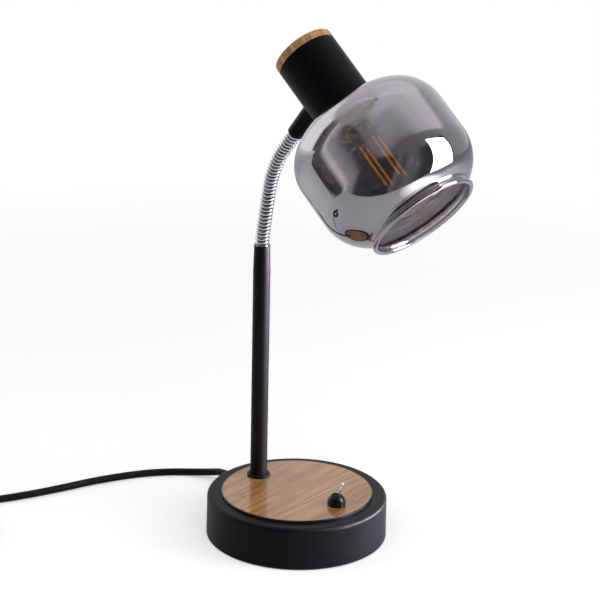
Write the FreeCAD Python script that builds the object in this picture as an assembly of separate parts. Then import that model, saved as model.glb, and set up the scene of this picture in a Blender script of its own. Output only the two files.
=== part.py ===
import FreeCAD, Part
import math
import os

from FreeCAD import Placement, Rotation, Vector

# A table lamp: a round weighted base with a wooden top disc and a toggle switch, an upright tube, a
# bendable chromed gooseneck, and a head with an E14 lampholder, a filament bulb and a glass shade.
# Millimetres. The origin is the middle of the base's underside, +Z is up, and +X points from the
# upright to the switch. The lamp's plane of symmetry is y = 0.

# Base
base_r = 70.0              # at the shell's lower edge
base_draft = 0.8           # degrees, the side leans in
base_top = 33.3            # height of the black rim
base_edge_round = 3.0
base_wall = 1.5
base_lift = 0.8            # the shell's edge stands this far above the table
pad_inset = 3.2            # from the bottom plate's edge
pad_t = 1.6
plate_gap = 1.3            # between the bottom plate and the shell
plate_t = 1.5
weight_inset = 1.2         # from the bottom plate's edge
weight_t = 10.0
weight_bore_r = 24.0       # room for the terminal block and the leads
pillar_r = 4.0
pillar_circle_r = 50.0
pillar_angles = (90.0, 210.0, 330.0)
base_screw_r = 1.95
base_screw_head_r = 3.6
base_screw_grip = 8.0      # length in the pillar
disc_r = 58.5              # wooden disc
disc_t = 4.0
disc_stands = 2.0          # above the black rim
disc_gap = 0.3
disc_chamfer = 0.4

# Upright
pole_x = -41.0
pole_r = 6.65
pole_wall = 1.0
pole_top = 224.5
pole_mouth_r = 6.1         # the tube is drawn in at its mouth
pole_taper = 20.0
flange_r = 9.0
flange_t = 2.5
stud_r = 4.9               # hollow M10 threaded tube
stud_bore_r = 3.2
stud_below = 8.5           # under the shell's top plate
stud_above = 18.0          # in the upright
nut_flats = 14.0
nut_t = 4.0
washer_r = 9.0
washer_t = 1.4
foot_bush_t = 22.0

# Gooseneck: a round wire wound on a bent centre line
neck_r = 5.5
neck_wire = 2.0            # diameter
neck_pitch = 2.97
neck_in_pole = 12.0
neck_in_ferrule = 12.0
neck_bend_r = 80.0
neck_first_lean = 9.5      # degrees from upright after the first bend
neck_last_lean = 38.0      # after the second bend
neck_run_low = 30.5
neck_run_high = 15.44
neck_joints = 12           # every second one bends forward, the others sideways
neck_cut_gap = 0.9         # between the wire ends of two neighbouring pieces
neck_start_angle = 20.0    # where the wire starts, about the centre line
fitting_spigot_r = 3.1
fitting_bore_r = 1.8
fitting_length = 14.0

# Ferrule and head
ferrule_r = 6.1
ferrule_bore_r = 5.65
ferrule_length = 26.94     # along its middle line, to the head's surface
head_r = 23.36
head_wall = 1.2
head_length = 53.0         # from the wooden cap to the glass
head_tilt = 41.2           # degrees below level
head_entry = 27.9          # where the ferrule meets the head, from the wooden cap
cap_t = 6.15
cap_round = 1.0

# Lampholder, shade ring and bulb, an E14 fitting
holder_back = 14.0         # distance of its back from the wooden cap
holder_r = 13.4
holder_thread_r = 14.0
holder_front = 68.0
holder_bore_r = 7.3
holder_mouth_r = 11.2
ring_r = 21.0
ring_t = 6.5
ring_nose = 3.0
bulb_r = 22.5
bulb_centre = 100.0        # from the wooden cap
bulb_neck_r = 9.0
bulb_glass_t = 0.8
bulb_base_r = 6.9
bulb_base_front = 66.0
bulb_base_length = 18.0
bulb_tip = 44.6
filament_r = 0.8
filament_circle_r = 8.6
filament_low = 80.0
filament_high = 115.0
filament_count = 4
filament_turn = 25.0

# Glass shade
glass_t = 2.2
shade_r = 59.5
shade_hole_r = 14.4
shoulder_r = 30.2
shade_side = 29.3          # straight part of the side
belly_r = 34.8
lip_r = 41.9
lip_bead = 1.8            # radius of the melted rim
lip_from_top = 95.3
lip_outer_fillet = 3.0

# Toggle switch
switch_x = 40.5
switch_turn = 41.0         # the slot's direction, seen from above, from +X towards +Y
dome_r = 7.0
dome_straight = 2.3
dome_wall = 1.4
slot_width = 3.0
slot_half = 3.6
bushing_r = 5.9
bushing_bore_r = 3.3
switch_nut_t = 2.4
switch_nut_flats = 14.0
switch_body_size = (20.0, 12.5, 17.0)
pivot_above_disc = 1.3
lever_r = 1.2
lever_tip_r = 1.45
lever_length = 16.0
lever_lean = 14.4          # towards the slot's direction, at rest
lever_ball_r = 2.5
lever_pin_r = 0.6
lever_pin_half = 4.4

# Cord, its strain relief and its plug
cord_r = 3.0
cord_exit_angle = 165.0
cord_exit_z = 9.6
relief_flange_r = 6.0
relief_flange_t = 2.0
relief_length = 24.0
relief_seat = 0.5          # between its inner flange and the curved wall, at the middle
relief_lift = 0.3          # between its outer flange and the wall
relief_big_r = 5.2
relief_small_r = 3.7
relief_grooves = 5
cord_inside = 30.0         # length of the cord inside the base
channel_half = 6.6         # half the width of the weight's channel for the cord
clamp_half = 6.0
coil_centre = (-193.8, -210.1)
coil_enter_angle = 156.4
coil_inner_r = 20.8
coil_step = 6.5            # from turn to turn, sideways and upwards
coil_turns_in = 3.5
coil_turns_tail = 0.2      # more than as many turns out as in
plug_axis_z = 6.85
plug_half_width = 17.6
plug_length = 34.0
plug_rear_half_width = 5.5
plug_relief = 12.0
pin_r = 2.0
pin_length = 19.0
pin_spacing = 18.6

# Clearances
slip = 0.1                 # round a part that is pushed or screwed in
touch = 0.03               # between curved faces of one body that meet

os.makedirs("parts", exist_ok=True)
UP = Vector(0, 0, 1)


def save(shape, name):
    shape.exportStep("parts/" + name + ".step")


def group(shapes):
    return Part.makeCompound(shapes)


def rod(radius, low, high, x=0.0, y=0.0):
    return Part.makeCylinder(radius, high - low, Vector(x, y, low), UP)


def ring(outer, inner, low, high, x=0.0, y=0.0):
    return rod(outer, low, high, x, y).cut(rod(inner, low - 1, high + 1, x, y))


def turned(*steps):
    """A solid turned about Z. A step is (r, z), or (r, z, r_mid, z_mid) for an arc through a middle point."""
    edges = []
    here = Vector(steps[0][0], 0, steps[0][1])
    start = here
    for step in steps[1:] + (steps[0][:2],):
        there = Vector(step[0], 0, step[1])
        if len(step) == 4:
            edges.append(Part.Arc(here, Vector(step[2], 0, step[3]), there).toShape())
        elif here.distanceToPoint(there) > 1e-6:
            edges.append(Part.LineSegment(here, there).toShape())
        here = there
    face = Part.Face(Part.Wire(edges))
    return face.revolve(Vector(0, 0, 0), UP, 360)


def hexagon(flats, bore, low, high, x=0.0, y=0.0):
    corner = flats / math.sqrt(3)
    points = []
    for k in range(7):
        angle = math.radians(60 * k)
        points.append(Vector(x + corner * math.cos(angle), y + corner * math.sin(angle), low))
    nut = Part.Face(Part.makePolygon(points)).extrude(Vector(0, 0, high - low))
    # the corners are turned off at both ends
    edge = corner - flats / 2
    turned_off = turned((0, low - 1), (corner - edge + 1, low - 1), (corner + 2, low + 2 + edge),
                        (corner + 2, high - 2 - edge), (corner - edge + 1, high + 1), (0, high + 1))
    turned_off.translate(Vector(x, y, 0))
    return nut.common(turned_off).cut(rod(bore, low - 1, high + 1, x, y))


def on_circle(radius, degrees):
    angle = math.radians(degrees)
    return radius * math.cos(angle), radius * math.sin(angle)


# Radii and heights in the base
plate_r = base_r - base_wall - plate_gap
weight_r = plate_r - weight_inset
pad_r = plate_r - pad_inset
plate_low = pad_t
plate_high = plate_low + plate_t
weight_high = plate_high + weight_t
disc_low = base_top + disc_stands - disc_t
disc_high = base_top + disc_stands
shell_under = disc_low - base_wall


def side_radius(z):
    return base_r - (z - base_lift) * math.tan(math.radians(base_draft))


def base_shell():
    round_low = base_top - base_edge_round
    outer_low = side_radius(round_low)
    outer_top = outer_low - base_edge_round
    mid = base_edge_round * math.sqrt(0.5)
    inner_mid = (base_edge_round - base_wall) * math.sqrt(0.5)
    recess_r = disc_r + disc_gap
    shell = turned((side_radius(base_lift), base_lift),
                   (outer_low, round_low),
                   (outer_top, base_top, outer_top + mid, round_low + mid),
                   (recess_r, base_top),
                   (recess_r, disc_low),
                   (0, disc_low),
                   (0, shell_under),
                   (recess_r + base_wall, shell_under),
                   (recess_r + base_wall, base_top - base_wall),
                   (outer_top, base_top - base_wall),
                   (outer_low - base_wall, round_low, outer_top + inner_mid, round_low + inner_mid),
                   (side_radius(base_lift) - base_wall, base_lift))
    shell = shell.cut(rod(stud_r + slip, shell_under - 1, disc_low + 1, pole_x))
    shell = shell.cut(rod(bushing_r + slip, shell_under - 1, disc_low + 1, switch_x))
    shell = shell.cut(along_cord(rod(relief_flange_r - 1.0 + slip, -20, 20)))
    # threaded bushes welded under the top plate take the screws of the bottom plate
    for angle in pillar_angles:
        x, y = on_circle(pillar_circle_r, angle)
        pillar = rod(pillar_r, weight_high, shell_under + 0.5, x, y)
        hole = rod(base_screw_r + touch, weight_high - 1, weight_high + base_screw_grip + 1, x, y)
        shell = shell.fuse(pillar.cut(hole))
    return shell.removeSplitter()


def along_cord(shape):
    """Moves a shape built along +Z to the cord's exit: z = 0 there is the wall's outer face."""
    x, y = on_circle(side_radius(cord_exit_z), cord_exit_angle)
    outward = Vector(*on_circle(1.0, cord_exit_angle), 0)
    turn = Rotation(UP.cross(outward), UP, outward, "ZYX")
    moved = shape.copy()
    moved.Placement = Placement(Vector(x, y, cord_exit_z), turn).multiply(shape.Placement)
    return moved


def base_screws():
    solids = []
    for angle in pillar_angles:
        x, y = on_circle(pillar_circle_r, angle)
        head = Part.makeCone(base_screw_head_r, base_screw_r, plate_t, Vector(x, y, plate_low), UP)
        head = head.cut(Part.makeBox(5.0, 1.0, 0.8, Vector(x - 2.5, y - 0.5, plate_low)))
        solids.append(head.fuse(rod(base_screw_r, plate_high, weight_high + base_screw_grip, x, y)).removeSplitter())
    return group(solids)


def base_plate():
    plate = rod(plate_r, plate_low, plate_high)
    for angle in pillar_angles:
        x, y = on_circle(pillar_circle_r, angle)
        sink = Part.makeCone(base_screw_head_r + touch, base_screw_r + touch, plate_t, Vector(x, y, plate_low), UP)
        plate = plate.cut(sink)
    return plate


def switch_frame(shape):
    """Turns a shape about the switch's upright axis, from slot along +X to the slot's direction."""
    moved = shape.copy()
    moved.Placement = Placement(Vector(switch_x, 0, 0), Rotation(UP, switch_turn)).multiply(shape.Placement)
    return moved


def base_weight():
    weight = ring(weight_r, weight_bore_r, plate_high, weight_high)
    for angle in pillar_angles:
        x, y = on_circle(pillar_circle_r, angle)
        weight = weight.cut(rod(base_screw_r + 3 * slip, plate_high - 1, weight_high + 1, x, y))
    # pocket for the switch, and a channel for the cord
    length, width, _ = switch_body_size
    pocket = Part.makeBox(length + 4, width + 4, 40, Vector(-length / 2 - 2, -width / 2 - 2, 0))
    weight = weight.cut(switch_frame(pocket))
    channel = Part.makeBox(2 * channel_half, weight_r + 1, weight_high + 1, Vector(-channel_half, 0, 0))
    channel.rotate(Vector(0, 0, 0), UP, cord_exit_angle - 90)
    return weight.cut(channel)


def wood_disc():
    disc = turned((0, disc_low), (disc_r, disc_low), (disc_r, disc_high - disc_chamfer),
                  (disc_r - disc_chamfer, disc_high), (0, disc_high))
    disc = disc.cut(rod(stud_r + slip, disc_low - 1, disc_high + 1, pole_x))
    return disc.cut(rod(bushing_r + slip, disc_low - 1, disc_high + 1, switch_x))


def build_base():
    save(rod(pad_r, 0, pad_t), "foot_pad")
    save(base_plate(), "base_plate")
    save(base_weight(), "base_weight")
    save(base_screws(), "base_screws")
    save(base_shell(), "base_shell")
    save(wood_disc(), "wood_disc")


def build_pole():
    bore = pole_r - pole_wall
    taper_low = pole_top - pole_taper
    tube = turned((bore, disc_high), (pole_r, disc_high), (pole_r, taper_low),
                  (pole_mouth_r, pole_top), (bore, pole_top))
    flange_high = disc_high + flange_t
    flange = turned((pole_r + slip, disc_high), (flange_r, disc_high), (flange_r, flange_high - 0.8),
                    (flange_r - 0.8, flange_high), (pole_r + slip, flange_high))
    bush_bore = stud_r + slip
    bush = ring(bore - touch, bush_bore, disc_high, disc_high + foot_bush_t)
    stud = ring(stud_r, stud_bore_r, shell_under - stud_below, disc_high + stud_above)
    washer = ring(washer_r, stud_r + slip, shell_under - washer_t, shell_under)
    nut_high = shell_under - washer_t
    nut = hexagon(nut_flats, stud_r + slip, nut_high - nut_t, nut_high)
    for shape, name in ((flange, "pole_flange"), (bush, "pole_foot_bush"), (stud, "pole_stud"),
                        (washer, "pole_washer"), (nut, "pole_nut"), (tube, "pole_tube")):
        shape.translate(Vector(pole_x, 0, 0))
        save(shape, name)


# The gooseneck's centre line: first bend, straight run, second bend, straight run
lean_1 = math.radians(neck_first_lean)
lean_2 = math.radians(neck_last_lean)
neck_stops = [neck_bend_r * lean_1]
neck_stops.append(neck_stops[0] + neck_run_low)
neck_stops.append(neck_stops[1] + neck_bend_r * (lean_2 - lean_1))
neck_length = neck_stops[2] + neck_run_high


def neck_line(s):
    """Place, lean and curvature of the centre line at the distance s from the upright's mouth."""
    x, z, lean, bend = pole_x, pole_top, 0.0, 0.0
    if s <= 0:
        return Vector(x, 0, z + s), 0.0, 0.0
    lengths = (neck_stops[0], neck_run_low, neck_stops[2] - neck_stops[1], math.inf)
    for length, bend in zip(lengths, (1 / neck_bend_r, 0.0, 1 / neck_bend_r, 0.0)):
        part = min(s, length)
        turned_to = lean + part * bend
        if bend:
            x += (math.cos(lean) - math.cos(turned_to)) / bend
            z += (math.sin(turned_to) - math.sin(lean)) / bend
        else:
            x += part * math.sin(lean)
            z += part * math.cos(lean)
        lean = turned_to
        s -= part
        if s <= 0:
            break
    return Vector(x, 0, z), lean, bend


wire_r = neck_wire / 2
wind_r = neck_r - wire_r


def wire_point(s):
    """Place and direction of the wire's middle at the distance s along the centre line."""
    centre, lean, bend = neck_line(s)
    along = Vector(math.sin(lean), 0, math.cos(lean))
    front = Vector(math.cos(lean), 0, -math.sin(lean))
    side = Vector(0, 1, 0)
    turn_rate = 2 * math.pi / neck_pitch
    angle = math.radians(neck_start_angle) + turn_rate * s
    place = centre + front * (wind_r * math.cos(angle)) + side * (wind_r * math.sin(angle))
    way = along * (1 - bend * wind_r * math.cos(angle))
    way += front * (-wind_r * turn_rate * math.sin(angle)) + side * (wind_r * turn_rate * math.cos(angle))
    return place, way.normalize()


def arc_between(start, corner, end):
    """The arc that touches both legs of an even-sided corner."""
    base = (start + end) * 0.5
    half = start.distanceToPoint(end) / 2
    height = corner.distanceToPoint(base)
    if height < 1e-6:
        return Part.LineSegment(start, end).toShape()
    rise = half * math.tan(math.atan2(height, half) / 2)
    middle = base + (corner - base) * (rise / height)
    return Part.Arc(start, middle, end).toShape()


def biarc(start, start_way, end, end_way):
    """Two arcs that leave start and reach end in the given directions."""
    gap = end - start
    both = start_way + end_way
    turn = 2 * (1 - start_way.dot(end_way))
    reach = gap.dot(both)
    leg = (-reach + math.sqrt(reach * reach + turn * gap.dot(gap))) / turn
    corner_1 = start + start_way * leg
    corner_2 = end - end_way * leg
    middle = (corner_1 + corner_2) * 0.5
    return [arc_between(start, corner_1, middle), arc_between(middle, corner_2, end)]


def tube_on(edges, radius, start, way):
    shell = Part.BRepOffsetAPI.MakePipeShell(Part.Wire(edges))
    shell.add(Part.Wire(Part.makeCircle(radius, start, way)))
    shell.build()
    shell.makeSolid()
    return shell.shape()


def wound_tube(point_at, stops, radius, straight=0.0):
    """A tube on two arcs from stop to stop of the curve point_at, with straight ends of the given length."""
    places = [point_at(stop) for stop in stops]
    edges = []
    for (start, start_way), (end, end_way) in zip(places, places[1:]):
        edges += biarc(start, start_way, end, end_way)
    first, first_way = places[0]
    if straight:
        last, last_way = places[-1]
        edges.insert(0, Part.LineSegment(first - first_way * straight, first).toShape())
        edges.append(Part.LineSegment(last, last + last_way * straight).toShape())
    return tube_on(edges, radius, first - first_way * straight, first_way)


def even_stops(low, high, step):
    count = max(2, round((high - low) / step))
    return [low + (high - low) * k / count for k in range(count + 1)]


def least_gap(point_at, low, high, turn, diameter):
    """The smallest gap between a wound tube and its own other turns, measured on points."""
    count = int((high - low) / turn * 48)
    points = [point_at(low + (high - low) * k / count)[0] for k in range(count + 1)]
    apart = 24
    nearest = math.inf
    for k in range(len(points)):
        for other in range(k + apart, min(k + 4 * apart, len(points))):
            nearest = min(nearest, points[k].distanceToPoint(points[other]))
    return nearest - diameter


def neck_cuts():
    """Distances along the centre line at which the gooseneck's pieces meet, which are its joints."""
    piece = neck_length / neck_joints
    return [piece * (k + 0.5) for k in range(neck_joints)]


def build_neck():
    turn_length = 2 * math.pi * wind_r
    half_cut = neck_cut_gap / 2 * neck_pitch / turn_length
    ends = [-neck_in_pole] + neck_cuts() + [neck_length + neck_in_ferrule]
    for k in range(len(ends) - 1):
        low = ends[k] + (half_cut if k else 0)
        high = ends[k + 1] - (half_cut if k < len(ends) - 2 else 0)
        coil = wound_tube(wire_point, even_stops(low, high, neck_pitch / 4), wire_r)
        save(coil, "neck_coil_%02d" % k)
    gap = least_gap(wire_point, -neck_in_pole, neck_length + neck_in_ferrule, neck_pitch, neck_wire)
    turns = (neck_length + neck_in_pole + neck_in_ferrule) / neck_pitch
    print("gooseneck: %.1f mm, %.1f curls, least gap to itself %.2f mm" % (neck_length, turns, gap))
    for cut in neck_cuts():
        place, lean, _ = neck_line(cut)
        print("neck joint at %.3f %.3f lean %.3f" % (place.x, place.z, math.degrees(lean)))
    # the turned fitting that holds the gooseneck in the upright
    low = pole_top - neck_in_pole - fitting_length
    shoulder = pole_top - neck_in_pole - wire_r - slip
    fitting = turned((fitting_bore_r, low), (pole_r - pole_wall - touch, low),
                     (pole_r - pole_wall - touch, shoulder), (fitting_spigot_r, shoulder),
                     (fitting_spigot_r, pole_top - 1), (fitting_bore_r, pole_top - 1))
    fitting.translate(Vector(pole_x, 0, 0))
    save(fitting, "neck_lower_fitting")


def frame_at(origin, axis, front):
    """Placement whose Z runs along axis and whose X is front."""
    return Placement(origin, Rotation(front, axis.cross(front), axis, "ZXY"))


def ferrule_frame():
    start, lean, _ = neck_line(neck_length)
    return frame_at(start, Vector(math.sin(lean), 0, math.cos(lean)), Vector(math.cos(lean), 0, -math.sin(lean)))


def head_frame():
    """Origin in the plane between wooden cap and cup, Z along the head towards the shade's mouth."""
    tilt = math.radians(head_tilt)
    axis = Vector(math.cos(tilt), 0, -math.sin(tilt))
    meet = ferrule_frame().multVec(Vector(0, 0, ferrule_length + head_r))
    return frame_at(meet - axis * head_entry, axis, Vector(math.sin(tilt), 0, math.cos(tilt)))


def placed(shape, frame):
    moved = shape.copy()
    moved.Placement = frame.multiply(shape.Placement)
    return moved


def build_ferrule():
    frame = ferrule_frame()
    head_outside = placed(rod(head_r + touch, -5, head_length + 5), head_frame())
    sleeve = placed(ring(ferrule_r, ferrule_bore_r, 0, ferrule_length + 10), frame).cut(head_outside)
    sleeve = max(sleeve.Solids, key=lambda solid: solid.Volume)
    save(sleeve, "ferrule")
    wall_in = ferrule_length + head_wall
    washer_high = wall_in + 2.3
    nut_high = washer_high + 3.0
    shoulder = neck_in_ferrule + wire_r + slip
    collar_end = ferrule_length - 2.0
    fitting = turned((fitting_bore_r, 1.0), (fitting_spigot_r, 1.0), (fitting_spigot_r, shoulder),
                     (ferrule_bore_r - touch, shoulder), (ferrule_bore_r - touch, collar_end),
                     (stud_r, collar_end), (stud_r, nut_high + 1.0), (fitting_bore_r, nut_high + 1.0))
    save(placed(fitting, frame), "neck_upper_fitting")
    inside = placed(rod(head_r - head_wall - touch, 0, head_length), head_frame())
    saddle = placed(ring(7.2, stud_r + slip, ferrule_length - 5, washer_high), frame).common(inside)
    save(saddle, "head_saddle_washer")
    save(placed(hexagon(12.6, stud_r + slip, washer_high, nut_high), frame), "head_nut")


def build_head():
    frame = head_frame()
    inner = head_r - head_wall
    cup = turned((stud_r + slip, 0), (head_r - 0.5, 0), (head_r, 0.5), (head_r, head_length),
                 (inner, head_length), (inner, head_wall), (stud_r + slip, head_wall))
    cup = placed(cup, frame).cut(placed(rod(stud_r + slip, 0, ferrule_length + head_r), ferrule_frame()))
    save(cup, "head_cup")
    nut_room = 3.6
    mid = cap_round * (1 - math.sqrt(0.5))
    cap = turned((0, -cap_t), (head_r - cap_round, -cap_t), (head_r, -cap_t + cap_round, head_r - mid, -cap_t + mid),
                 (head_r, 0), (nut_flats / math.sqrt(3) + slip, 0), (nut_flats / math.sqrt(3) + slip, -nut_room),
                 (0, -nut_room))
    save(placed(cap, frame), "wood_cap")
    nipple = ring(stud_r, stud_bore_r, -nut_room + 0.4, holder_back + 6)
    save(placed(nipple, frame), "holder_nipple")
    nuts = [hexagon(nut_flats, stud_r + slip, -3.0, 0), hexagon(nut_flats, stud_r + slip, head_wall, head_wall + 3)]
    save(placed(group(nuts), frame), "holder_nuts")
    build_holder(frame)
    build_bulb(frame)
    save(placed(shade(), frame), "shade_glass")


def build_holder(frame):
    glass_under = head_length + glass_t
    body = turned((stud_r + slip, holder_back), (8.5, holder_back), (holder_r, holder_back + 6),
                  (holder_r, head_length - 9), (holder_r + 3, head_length - 6), (holder_r + 3, head_length - slip),
                  (holder_thread_r, head_length - slip), (holder_thread_r, holder_front - 0.6),
                  (holder_thread_r - 0.6, holder_front), (holder_mouth_r, holder_front),
                  (holder_mouth_r, bulb_base_front - 3), (holder_bore_r + 0.6, bulb_base_front - 3),
                  (holder_bore_r + 0.6, bulb_tip - 4), (stud_r + slip, bulb_tip - 4))
    save(placed(body, frame), "lampholder")
    socket = ring(holder_bore_r + 0.5, holder_bore_r, bulb_tip - 1, bulb_base_front - 4)
    save(placed(socket, frame), "holder_screw_shell")
    contact = turned((0, bulb_tip - 3.9), (5, bulb_tip - 3.9), (5, bulb_tip - 3.1), (2, bulb_tip - 3.1),
                     (2, bulb_tip - 0.05), (0, bulb_tip - 0.05))
    save(placed(contact, frame), "holder_contact")
    # the ring that screws up against the glass, with grip ribs round its wide part
    ring_high = glass_under + ring_t
    nut = turned((holder_thread_r + slip, glass_under + touch), (ring_r, glass_under + touch),
                 (ring_r, ring_high - 1.5), (ring_r - 1.5, ring_high), (holder_thread_r + 3.0, ring_high),
                 (holder_thread_r + 1.6, ring_high + ring_nose), (holder_thread_r + slip, ring_high + ring_nose))
    ribs = 16
    for k in range(ribs):
        x, y = on_circle(ring_r + 0.9, 360 / ribs * k)
        nut = nut.cut(rod(1.6, glass_under + 1.2, ring_high + 1, x, y))
    save(placed(nut, frame), "shade_ring")


def bulb_profile(radius, inside):
    """The bulb's outline from its neck to its tip, inside or outside its wall."""
    neck = bulb_neck_r - inside
    join = math.asin((neck + 1.5) / radius)
    angle = math.pi - join
    join_r = radius * math.sin(angle)
    join_z = bulb_centre + radius * math.cos(angle)
    middle = (angle / 2)
    return neck, join_r, join_z, radius * math.sin(middle), bulb_centre + radius * math.cos(middle)


def build_bulb(frame):
    front = bulb_base_front
    neck, join_r, join_z, mid_r, mid_z = bulb_profile(bulb_r, 0.0)
    outer = turned((0, front - 2), (bulb_base_r - 1.2, front - 2), (bulb_base_r - 1.2, front + touch),
                   (neck, front + touch), (neck, join_z - 2.5),
                   (join_r, join_z), (0, bulb_centre + bulb_r, mid_r, mid_z))
    neck, join_r, join_z, mid_r, mid_z = bulb_profile(bulb_r - bulb_glass_t, bulb_glass_t)
    inner = turned((0, front + 1.5), (neck, front + 1.5), (neck, join_z - 2.5),
                   (join_r, join_z), (0, bulb_centre + bulb_r - bulb_glass_t, mid_r, mid_z))
    save(placed(outer.cut(inner), frame), "bulb_glass")
    low = front - bulb_base_length
    shell = turned((0, low), (bulb_base_r - 1.5, low), (bulb_base_r, low + 2), (bulb_base_r, front),
                   (bulb_base_r - 1.1, front), (bulb_base_r - 1.1, front - 2.1), (0, front - 2.1))
    save(placed(shell, frame), "bulb_base")
    tip = turned((0, bulb_tip), (1.6, bulb_tip), (2.8, bulb_tip + 1), (4.8, low), (0, low))
    save(placed(tip, frame), "bulb_contact")
    # a glass stem that carries the filaments between a lower and an upper wire star
    stem = turned((0, front + 1.6), (6.0, front + 1.6), (3.0, front + 7), (1.6, filament_low - 3), (0, filament_low - 3))
    mast = rod(0.7, filament_low - 4, filament_high - 4)
    save(placed(stem.fuse(mast).removeSplitter(), frame), "bulb_stem")
    filaments, lead_low, lead_high = [], [], []
    for k in range(filament_count):
        angle = 360 / filament_count * k + filament_turn
        x, y = on_circle(filament_circle_r, angle)
        filaments.append(rod(filament_r, filament_low, filament_high, x, y))
        for level, leads in ((filament_low - 1.0, lead_low), (filament_high + 1.0, lead_high)):
            reach = Part.makeCylinder(0.35, filament_circle_r - 0.7, Vector(0, 0, level), Vector(x, y, 0))
            leads.append(reach.fuse(rod(0.35, level - 1.0, level + 1.0, x * 0.92, y * 0.92)))
    save(placed(group(filaments), frame), "bulb_filaments")
    star_low = ring(1.5, 0.75, filament_low - 1.6, filament_low - 0.4)
    star_high = rod(1.2, filament_high - 3.9, filament_high + 1.6)
    for lead in lead_low:
        star_low = star_low.fuse(lead)
    for lead in lead_high:
        star_high = star_high.fuse(lead)
    hole = rod(0.75, filament_low - 5, filament_low + 5)
    save(placed(group([star_low.cut(hole), star_high]), frame), "bulb_wires")


def meet_of_circles(first, first_r, second, second_r):
    """The crossing of two circles in the (r, z) plane that lies further from the axis."""
    dr, dz = second[0] - first[0], second[1] - first[1]
    apart = math.hypot(dr, dz)
    along = (first_r ** 2 - second_r ** 2 + apart ** 2) / (2 * apart)
    off = math.sqrt(first_r ** 2 - along ** 2)
    ur, uz = dr / apart, dz / apart
    candidates = [(first[0] + ur * along - uz * side * off, first[1] + uz * along + ur * side * off)
                  for side in (1, -1)]
    return max(candidates)


def towards(origin, target, distance):
    gap = math.hypot(target[0] - origin[0], target[1] - origin[1])
    share = distance / gap
    return origin[0] + (target[0] - origin[0]) * share, origin[1] + (target[1] - origin[1]) * share


def arc_step(centre, radius, start, end):
    """The end of an arc about centre, with its middle point, for turned()."""
    middle = ((start[0] + end[0]) / 2, (start[1] + end[1]) / 2)
    return (*end, *towards(centre, middle, radius))


def shade():
    """The blown glass, on its own axis: a flat top, a round shoulder, a belly and a melted lip."""
    top = head_length
    shoulder = (shade_r - shoulder_r, top + shoulder_r)
    belly = (shade_r - belly_r, top + shoulder_r + shade_side)
    bead = (lip_r - lip_bead, top + lip_from_top)
    # outside: a small hollow fillet joins the belly to the bead
    fillet = meet_of_circles(belly, belly_r + lip_outer_fillet, bead, lip_bead + lip_outer_fillet)
    belly_end = towards(belly, fillet, belly_r)
    bead_start = towards(bead, fillet, lip_bead)
    # inside: one arc leads from the belly to the inner face of the bead
    inner_belly_r = belly_r - glass_t
    throat_r = bead[0] - lip_bead
    dz, dr = bead[1] - belly[1], throat_r - belly[0]
    throat_arc = (dz ** 2 + dr ** 2 - inner_belly_r ** 2) / (2 * (inner_belly_r - dr))
    throat_centre = (throat_r + throat_arc, bead[1])
    throat_start = towards(belly, throat_centre, inner_belly_r)
    inner_top = (shoulder[0], top + glass_t)
    inner_side = (shade_r - glass_t, shoulder[1])
    return turned((shade_hole_r, top), (shoulder[0], top),
                  arc_step(shoulder, shoulder_r, (shoulder[0], top), (shade_r, shoulder[1])),
                  (shade_r, belly[1]),
                  arc_step(belly, belly_r, (shade_r, belly[1]), belly_end),
                  arc_step(fillet, lip_outer_fillet, belly_end, bead_start),
                  (bead[0], bead[1] + lip_bead, *towards(bead, (bead[0] + 1.5, bead[1] + 1.0), lip_bead)),
                  (throat_r, bead[1], *towards(bead, (bead[0] - 1, bead[1] + 1), lip_bead)),
                  arc_step(throat_centre, throat_arc, (throat_r, bead[1]), throat_start),
                  arc_step(belly, inner_belly_r, throat_start, (shade_r - glass_t, belly[1])),
                  inner_side,
                  arc_step(shoulder, shoulder_r - glass_t, inner_side, inner_top),
                  (shade_hole_r, top + glass_t))


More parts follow.
